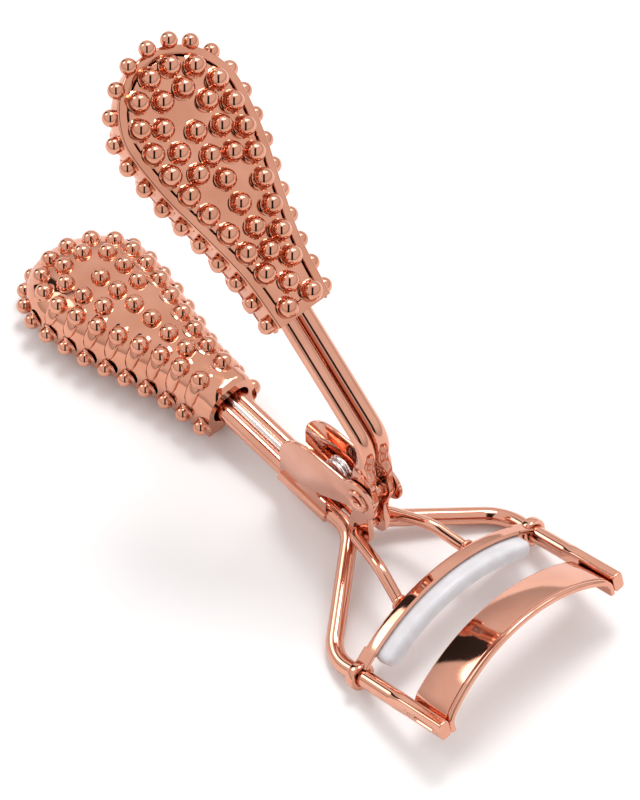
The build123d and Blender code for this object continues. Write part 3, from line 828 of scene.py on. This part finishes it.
def strip_line(apex):
    """Half of the strip's middle line across the rails, as (y, v), from the middle to the tab's foot."""
    top = arc_through((-tab_inner, fixed_foot_v), (0, apex), (tab_inner, fixed_foot_v), 120)
    half = [(y, v - fixed_t / 2) for y, v in top if -0.01 <= y <= tab_inner - 1.9]
    last = np.array(half[-1])
    ahead = (last - np.array(half[-2])) / np.hypot(*(last - np.array(half[-2])))
    wall_y = tab_inner - fixed_t / 2
    knee = last + ahead * (wall_y - last[0]) / ahead[0]
    foot = np.array([wall_y, knee[1] - 1.2])
    shares = np.linspace(0, 1, 12)[1:]
    turn = [tuple((1 - t) ** 2 * last + 2 * t * (1 - t) * knee + t * t * foot) for t in shares]
    down = [(wall_y, foot[1] + (-1.5 - foot[1]) * t) for t in (0.33, 0.66, 1.0)]
    return evenly([Vector((*p, 0)) for p in half + turn + down], 0.35)


def on_line(line, share):
    """The point and outward normal of a middle line at share (0 to 1) of its length."""
    along = lengths_along(line)
    at = share * along[-1]
    k = min(int(np.searchsorted(along, at)), len(line) - 1)
    k = max(k, 1)
    t = (at - along[k - 1]) / max(along[k] - along[k - 1], 1e-9)
    ahead = (line[min(k + 1, len(line) - 1)] - line[max(k - 2, 0)]).normalized()
    return line[k - 1].lerp(line[k], t), Vector((-ahead.y, ahead.x, 0))


def strip_profile(width):
    """Cross-section of the strip as (share of its width, height): a groove sets off a bead in front."""
    half = fixed_t / 2
    front = width - 0.45
    top = [(0.0, 0.0), (0.02, 0.25), (0.14, half - 0.06), (0.35, half), (width * 0.5, half)]
    top += [(front - 0.75, half), (front - 0.6, half - 0.02)]
    top += [(front - 0.5, half - 0.16), (front - 0.4, half - 0.02)]
    top += arc((front, half - 0.5), 0.52, 100, 0, 9)
    low = [(front + 0.45, -half + 0.1), (front + 0.2, -half), (width * 0.5, -half)]
    low += [(0.35, -half), (0.14, -half + 0.06), (0.02, -0.25)]
    return [(x / width, h) for x, h in top + low]


back_line = strip_line(fixed_back_v)
front_line = strip_line(fixed_front_v)
strip_rings = []
stations = 130
for i in range(-stations, stations + 1):
    share = abs(i) / stations
    side = 1 if i >= 0 else -1
    back_point, back_normal = on_line(back_line, share)
    front_point, front_normal = on_line(front_line, share)
    ring = []
    for x, h in strip_profile(-fixed_back_u):
        p = back_point.lerp(front_point, x)
        n = back_normal.lerp(front_normal, x).normalized()
        ring.append(rail(fixed_back_u * (1 - x), side * (p.x + n.x * h), p.y + n.y * h))
    strip_rings.append(ring)
strip_parts = [skin(strip_rings)]
tab_slot = arc((1.65, 0), 0.52, -90, 90, 12) + arc((-1.65, 0), 0.52, 90, 270, 12)
for side in (-1, 1):
    outward = Vector((0, side, 0))
    place = basis(rail(-slot_back, side * (rail_y - 0.6), 0), rail_dir, outward)
    strip_parts += slab([tab_slot], 0, 0.6 + flat_t / 2 - 0.22, place, edge=0.1)
mesh_piece("front_jaw", strip_parts, "frame", rose_sheet, ["fixed_jaw"], sharp=50)

# ---- grips: a beaded shell and the beaded cover let into its outer side -------------------------
# Local frame of a grip: x from its first ring bead to its tip, z towards the other grip.
neck_half = 5.72
tip_s = 44.3
curl_s = 35.0
curl = 3.1
neck_s = -1.2
ring_inset = 0.55
grip_top = 7.0
grip_rim = 2.3
cover_t = 1.2
upper_rise = 1.9
upper_pitch = 38.2
upper_yaw = 2.0
tip_top = 1.4                 # height of the inner side at the tip
tip_middle = 32.6             # the outline closes in on this point round the tip
widest = 0.7                  # share of the outline at which it is widest
dome_power = (3.4, 0.42)      # how full the dome is, and how square its shoulder
tip_half = 11.45
fall_s = 14.0
ring_bead_r = 1.35
face_bead_r = 1.62
ring_count = 13
swell = 1.12
row_gap = 3.5
bead_pitch = 4.1
bead_clear = 3.55
cover_inset = 3.6
dome_inset = 3.2


def outline_at(share):
    """A point of the ring line from the neck (0) past the widest place to the tip (1)."""
    if share > widest:
        turn = radians(90) * (share - widest) / (1 - widest)
        return (tip_middle + (tip_s - tip_middle) * sin(turn), tip_half * cos(turn))
    t = (share / widest) ** swell
    return (tip_middle * share / widest, neck_half + (tip_half - neck_half) * t * t * (3 - 2 * t))


ring_points = [outline_at(widest / 4 * i) for i in range(5)]
ring_points += [outline_at(widest + 0.07 * i) for i in (1, 2, 3)]


def both_sides(places):
    return places + [(s, -y) for s, y in places if y > 0]


def catmull(points, count):
    """A smooth line through 2-D points, as count points the same distance apart."""
    p = np.array([points[0], *points, points[-1]], float)
    line = []
    for k in range(1, len(p) - 2):
        for t in np.linspace(0, 1, 24, endpoint=False):
            line.append(0.5 * (
                2 * p[k] + (p[k + 1] - p[k - 1]) * t
                + (2 * p[k - 1] - 5 * p[k] + 4 * p[k + 1] - p[k + 2]) * t * t
                + (3 * p[k] - p[k - 1] - 3 * p[k + 1] + p[k + 2]) * t**3
            ))
    line.append(p[-2])
    return even_line(np.array(line), count)


def drawn_in(p, inset):
    """A point of the ring line moved inwards: sideways along the grip, to its middle round the tip."""
    s, w = p
    share = 1 - inset / tip_half
    if s <= tip_middle:
        return (s, w - inset)
    return (tip_middle + (s - tip_middle) * share, w * share)


def bead_row(inset, first):
    """Places evenly along one side of the outline drawn in by inset, ending half a step from the tip."""
    line = [drawn_in(outline_at(i / 400), inset) for i in range(401)]
    line = [place for place in line if place[0] >= first]
    along = [0]
    for here, ahead in zip(line, line[1:]):
        along.append(along[-1] + hypot(ahead[0] - here[0], ahead[1] - here[1]))
    steps = round(along[-1] / bead_pitch - 0.5) + 0.5
    marks = [k * along[-1] / steps for k in range(int(steps) + 1)]
    return [line[next(i for i, d in enumerate(along) if d >= mark)] for mark in marks]


def clear_of(place, others, gap):
    return all(hypot(place[0] - s, place[1] - y) >= gap for s, y in others)


def middle_row(first, last, others):
    """Beads down the middle of a face, as close as the rows beside them allow."""
    row = []
    for i in range(int((last - first) * 10)):
        place = (first + i / 10, 0)
        if clear_of(place, others, bead_clear) and clear_of(place, row, bead_pitch):
            row.append(place)
    return row


def inner_row(inset, others):
    """A second row inside the rim row, where the face is wide enough for it."""
    row = [(s, y) for s, y in bead_row(inset, 8) if y >= bead_clear / 2]
    return [place for place in row if clear_of(place, others, bead_clear)]


cover_rim = [(0.8, 2.4)] + bead_row(cover_inset, 6.8)
cover_rows = both_sides(cover_rim + inner_row(cover_inset + row_gap, cover_rim))
cover_places = cover_rows + middle_row(3.9, 40, cover_rows)
dome_rim = bead_row(dome_inset, 3.2)
dome_between = inner_row(dome_inset + row_gap, dome_rim)
dome_rows = both_sides(dome_rim + dome_between)
dome_places = both_sides(dome_between) + middle_row(4.8, 40, dome_rows)


def half_outline(inset, start, count=400):
    """One side of the outline drawn in by inset, from the square neck at start to the tip."""
    near_tip = outline_at(0.95)
    tip = [near_tip, (tip_s, 0.0), (near_tip[0], -near_tip[1])]
    side = [drawn_in(p, inset) for p in ring_points + tip]
    side[0] = (start, side[0][1] + 0.05 * start)
    line = catmull(side, 600)
    line = np.vstack([line[line[:, 1] > 0.02], [drawn_in((tip_s, 0.0), inset)]])
    return even_line(line, count)


def outline(inset, start, count=160):
    """The whole outline as a counter-clockwise line, open across the square neck."""
    upper = half_outline(inset, start, count // 2 + 1)
    return np.vstack([upper, upper[::-1][1:] * (1, -1)])[::-1]


wall_half = half_outline(ring_inset, neck_s)
wall_width = wall_half[np.argsort(wall_half[:, 0])]
wall_reach = wall_half[wall_half[:, 0] >= tip_middle] - (tip_middle, 0)
wall_angles = np.arctan2(wall_reach[:, 1], wall_reach[:, 0])[::-1]
wall_radii = np.hypot(*wall_reach.T)[::-1]


def crown(s):
    """Height of the dome's middle line: it falls towards the tip and rolls over at the neck."""
    fall = (grip_top - tip_top) * (max(s - fall_s, 0) / (tip_s - fall_s)) ** 3
    roll = 0.5 * max(0.0, 1 - (s - neck_s) / 0.8) ** 2
    return grip_top - fall - roll


def ring_level(s):
    """Height of the ring of beads: it turns down towards the outer side at the tip."""
    return -curl * (max(s - curl_s, 0) / (tip_s - curl_s)) ** 1.5


def wall_share(s, y):
    """How far (s, y) lies between the grip's spine (0) and its wall (1)."""
    if s < tip_middle:
        return min(abs(y) / float(np.interp(s, *wall_width.T)), 1)
    reach = np.interp(atan2(abs(y), s - tip_middle), wall_angles, wall_radii)
    return min(sqrt((s - tip_middle) ** 2 + y * y) / reach, 1)


def bulge(share):
    """The dome's height as a share of its crown, from its spine (0) to its wall (1)."""
    return (1 - share ** dome_power[0]) ** dome_power[1]


def dome(s, y):
    """Height of the shell's inner side over the point (s, y)."""
    return crown(s) * bulge(wall_share(s, y))


def dome_normal(s, y):
    near = 0.15
    ds = (dome(s + near, y) - dome(s - near, y)) / (2 * near)
    dy = (dome(s, y + near) - dome(s, y - near)) / (2 * near)
    return Vector((-ds, -dy, 1)).normalized()


dome_shares = [cos(radians(a)) for a in (0, 6, 12, 18, 24, 30, 36, 43, 50, 57, 64, 71, 78, 84, 87.5)]
seat_s = 0.55                 # the cover's seat stops short of the neck
rim_edge = [(0.5, 0.0), (0.25, 0.03), (0.08, 0.15), (0.0, 0.4), (0.0, 0.9), (0.0, 1.6)]


def spine_point(p, share):
    """A point of the outline drawn towards the grip's spine."""
    x, y = p
    if x <= tip_middle:
        return (x, y * share)
    return (tip_middle + (x - tip_middle) * share, y * share)


def shell_surface():
    """The shell's outside: rim, wall and dome, as rings from the rim to the spine of the dome."""
    wall = outline(ring_inset, neck_s)
    rings = []
    for inset, z in ((1.5, cover_t), (1.5, 0.12), (1.4, 0.0)):
        rings.append([(x, y, z - grip_rim) for x, y in outline(ring_inset + inset, seat_s)])
    for inset, z in rim_edge:
        rings.append([(x, y, z - grip_rim) for x, y in outline(ring_inset + inset, neck_s)])
    flat = [rings[3][-1], rings[2][-1], rings[2][0], rings[3][0]]
    stop = [rings[2][-1], rings[0][-1], rings[0][0], rings[2][0]]
    for share in dome_shares:
        rise = bulge(share)
        rings.append([(x, y, crown(x) * rise) for x, y in (spine_point(p, share) for p in wall)])
    points, faces = skin(rings, (False, False), closed=False)
    # the two sides of the last ring meet along the spine of the dome
    n = len(wall)
    base = (len(rings) - 1) * n
    for i in range(n // 2 - 1):
        faces.append([base + i, base + i + 1, base + n - 2 - i, base + n - 1 - i])
    # the rim across the neck, and the end of the cover's seat
    for quad in (flat, stop):
        faces.append([len(points) + i for i in range(4)])
        points = list(points) + quad
    return points, faces


def bead(centre, normal, radius, depth, count=24):
    """A cast bead: a ball on a small fillet, standing with its centre depth above its seat."""
    normal = Vector(normal).normalized()
    place = basis(centre, normal.orthogonal(), normal)
    foot = degrees(acos(max(min((0.1 - depth) / radius, 0.9), -0.3)))
    profile = [(0.001, radius)]
    steps = 9
    for i in range(1, steps + 1):
        a = radians(foot * i / steps)
        profile.append((radius * sin(a), radius * cos(a)))
    x_foot, z_foot = profile[-1]
    profile += [(x_foot + 0.07, z_foot - 0.1), (x_foot + 0.22, z_foot - 0.17), (x_foot + 0.5, z_foot - 0.3)]
    return lathe(profile, place, count)


def drip(s, y):
    """A short run of metal from a bead down the dome's shoulder, thinning to its foot."""
    sign = 1 if y > 0 else -1
    first = wall_share(s, y)
    reach = abs(y) / first
    route = []
    for share in np.linspace(first, 0.985, 9):
        route.append(Vector((s, sign * reach * share, crown(s) * bulge(share))))
    route = evenly(route, 0.3)
    rings = []
    for k, point in enumerate(route):
        t = k / (len(route) - 1)
        ahead = heading(route, k)
        side = Vector((1, 0, 0))
        out = ahead.cross(side) * sign
        end = sqrt(max(1 - ((t - 0.55) / 0.45) ** 2, 0)) if t > 0.55 else 1
        wide = (1.3 - 0.3 * t) * end + 0.02
        tall = (0.6 - 0.25 * t) * end + 0.02
        base = point - out * 0.12
        rings.append([base + out * (tall * x) + side * (wide * y) for x, y in disc(1, 18)])
    return skin(rings)


def shell_parts():
    parts = [shell_surface()]
    # the flat end of the neck, with an oval mouth round the pair of wires
    wall = outline(ring_inset, neck_s)
    w = abs(wall[0][1])
    face = [(w - inset, z - grip_rim) for inset, z in rim_edge]
    face += [(w * share, crown(neck_s) * bulge(share)) for share in dome_shares]
    face = [(-y, z) for y, z in face] + [(y, z) for y, z in face[::-1]]
    mouth_z = 2.1
    mouth_y = 1.15
    mouth_r = 2.7
    mouth = arc((mouth_y, mouth_z), mouth_r, -90, 90, 16) + arc((-mouth_y, mouth_z), mouth_r, 90, 270, 16)
    parts.append(flat_face([face, mouth[::-1]], lambda p: (neck_s, p.x, p.y), True))
    # the mouth's own wall, running into the dark of the grip
    tunnel = []
    for depth, grow in ((0.0, 0.16), (0.05, 0.06), (0.2, 0.0), (7.0, 0.0)):
        wide = 1 + grow / (mouth_y + mouth_r)
        tall = 1 + grow / mouth_r
        tunnel.append([(neck_s + depth, y * wide, mouth_z + (z - mouth_z) * tall) for y, z in mouth[::-1]])
    parts.append(skin(tunnel, (False, True)))
    line = half_outline(0, 0)
    for i in range(ring_count + 1):
        s, y = line[round(i / ring_count * (len(line) - 1))]
        out = Vector((max(s - tip_middle, 0), y, 0)).normalized()
        for place, turn in ([((s, y), 1), ((s, -y), -1)] if y > 0.1 else [((s, 0), 1)]):
            seat = Vector((place[0], place[1], ring_level(s)))
            lean = Vector((out.x, out.y * turn, 0))
            # beads at the tip are whole balls, as skirts would reach below the floor
            if s > curl_s + 2:
                ball = arc((0, 0), ring_bead_r, 89.9, -89.9, 16)
                parts.append(lathe(ball, basis(seat, (1, 0, 0), (0, 0, 1)), 22, (True, True)))
            else:
                parts.append(bead(seat, lean + Vector((0, 0, -0.12)), ring_bead_r, 0.55, 22))
    rim = both_sides(dome_rim)
    for s, y in rim + dome_places:
        parts.append(bead((s, y, dome(s, y)), dome_normal(s, y), face_bead_r, 0.1))
        if (s, y) in rim and s < tip_middle:
            parts.append(drip(s, y))
    return parts


def cover_parts():
    loop = outline(ring_inset + 1.8, 0.65, 158)
    place = basis((0, 0, 0), (1, 0, 0), (0, 0, -1))       # local z points outwards
    parts = slab([loop], grip_rim - 0.15 - cover_t, grip_rim - 0.15, place, edge=0.14)
    for s, y in cover_places:
        parts.append(bead((s, y, -grip_rim - 0.55), (0, 0, -1), face_bead_r, 0.68, 28))
    return parts


lower_place = basis((neck_x, 0, ring_z), (-1, 0, 0), (0, 0, 1))
cu = cos(radians(upper_pitch))
su = sin(radians(upper_pitch))
upper_place = basis(
    lever_bend + lever_back * upper_u - lever_under * upper_rise,
    (-cu, tan(radians(upper_yaw)), su),
    (-su, 0, -cu),
)
mouldings = {"shell": shell_parts(), "cover": cover_parts()}
for label, place, body in (("lower", lower_place, "frame"), ("upper", upper_place, "lever")):
    for kind, parts in mouldings.items():
        mesh_piece(
            f"{label}_beaded_{kind}", moved(parts, place), body, rose_grip,
            [f"{label}_grip_{kind}"], sharp=50,
        )

# ---- camera, floor and light --------------------------------------------------------------------
azimuth = radians(46.1)
elevation = radians(55)
view_right = Vector((cos(azimuth), sin(azimuth), 0))
view_up = Vector((-sin(azimuth) * sin(elevation), cos(azimuth) * sin(elevation), cos(elevation)))
view_back = Vector((sin(azimuth) * cos(elevation), -cos(azimuth) * cos(elevation), sin(elevation)))
camera_data = bpy.data.cameras.new("camera")
camera_data.lens = 156.7
camera_data.clip_start = 0.01
camera_data.clip_end = 60
camera = new_object("camera", camera_data)
camera.matrix_world = Matrix((view_right, view_up, view_back)).transposed().to_4x4()
camera_distance = 560
shift = (8.634, 6.576)
middle = Vector((-2.4, 0, 4.7))
camera_place = view_back * camera_distance + view_right * shift[0] + view_up * shift[1] + middle
camera.location = camera_place * MM
bpy.context.scene.camera = camera


def floor_material():
    """White seamless paper with a barely visible mottle."""
    material, shader, add, links = new_material("white_paper")
    mottle = noise(add, 6.0, 3.0)
    colour = ramp(add, mottle, [(0.3, (0.93, 0.92, 0.92)), (0.7, (0.97, 0.965, 0.965))])
    links.new(colour, shader.inputs["Base Color"])
    shader.inputs["Roughness"].default_value = 0.7
    return material


floor_mesh = bpy.data.meshes.new("floor")
floor_half = 15
corners = [(x * floor_half, y * floor_half, 0) for x, y in ((-1, -1), (1, -1), (1, 1), (-1, 1))]
floor_mesh.from_pydata(corners, [], [[0, 1, 2, 3]])
floor_mesh.materials.append(floor_material())
floor = new_object("floor", floor_mesh)


def area_light(name, place, aim, size, power):
    """A square soft light at place, turned towards aim, both in metres."""
    data = bpy.data.lights.new(name, "AREA")
    data.size = size
    data.energy = power
    light = new_object(name, data)
    light.location = place
    light.rotation_euler = (Vector(aim) - Vector(place)).to_track_quat("-Z", "Y").to_euler()


area_light("key", (-0.25, 0.4, 1.0), (0, 0, 0), 0.35, 5.0)

bpy.context.scene.view_settings.view_transform = "Standard"
world = bpy.data.worlds.new("tent")
world.use_nodes = True
bpy.context.scene.world = world
w_add = adder(world.node_tree)
direction = w_add("ShaderNodeTexCoord").outputs["Generated"]


def facing(towards):
    """Cosine of the angle between a direction of the sky and towards."""
    inputs = {0: direction, 1: Vector(towards).normalized()}
    return w_add("ShaderNodeVectorMath", inputs, operation="DOT_PRODUCT").outputs["Value"]


def step(value, low, high, at_low, at_high):
    """An even change from at_low to at_high as value goes from low to high."""
    node = w_add("ShaderNodeMapRange", {
        "Value": value, "From Min": low, "From Max": high, "To Min": at_low, "To Max": at_high,
    })
    node.interpolation_type = "SMOOTHSTEP"
    return node.outputs["Result"]


def maths(operation, a, b):
    return w_add("ShaderNodeMath", {0: a, 1: b}, operation=operation).outputs["Value"]


# a white tent, duller towards the floor, with a dark upright gap on the side open to the photographer
height = w_add("ShaderNodeSeparateXYZ", {"Vector": direction}).outputs["Z"]
tent = step(height, 0.0, 0.45, 0.62, 0.98)
beside_gap = step(maths("ABSOLUTE", facing(view_right), 0.0), 0.14, 0.22, 0.0, 1.0)
past_gap = step(facing(view_up), 0.48, 0.60, 0.0, 1.0)
gap = maths("MAXIMUM", beside_gap, past_gap)
tent = maths("MULTIPLY", tent, maths("MAXIMUM", gap, 0.02))
# a dark screen standing behind the grips
screen_side = step(maths("ABSOLUTE", facing((0.03, 1, 0)), 0.0), 0.15, 0.19, 0.0, 1.0)
screen_top = step(height, 0.66, 0.72, 0.0, 1.0)
screen_front = step(facing((-1, 0.03, 0)), -0.05, 0.05, 1.0, 0.0)
screen = maths("MAXIMUM", maths("MAXIMUM", screen_side, screen_top), screen_front)
tent = maths("MULTIPLY", tent, maths("MAXIMUM", screen, 0.04))
# two soft boxes, left and far right
for towards, spread, strength in (((-0.768, -0.208, 0.606), 13, 3.0), ((-0.073, 0.657, 0.752), 9, 3.0)):
    box = step(facing(towards), cos(radians(spread)), cos(radians(spread - 2)), 0.0, strength)
    tent = maths("ADD", tent, box)
world.node_tree.links.new(tent, world.node_tree.nodes["Background"].inputs["Strength"])
world.node_tree.nodes["Background"].inputs["Color"].default_value = (1.0, 0.985, 0.98, 1)
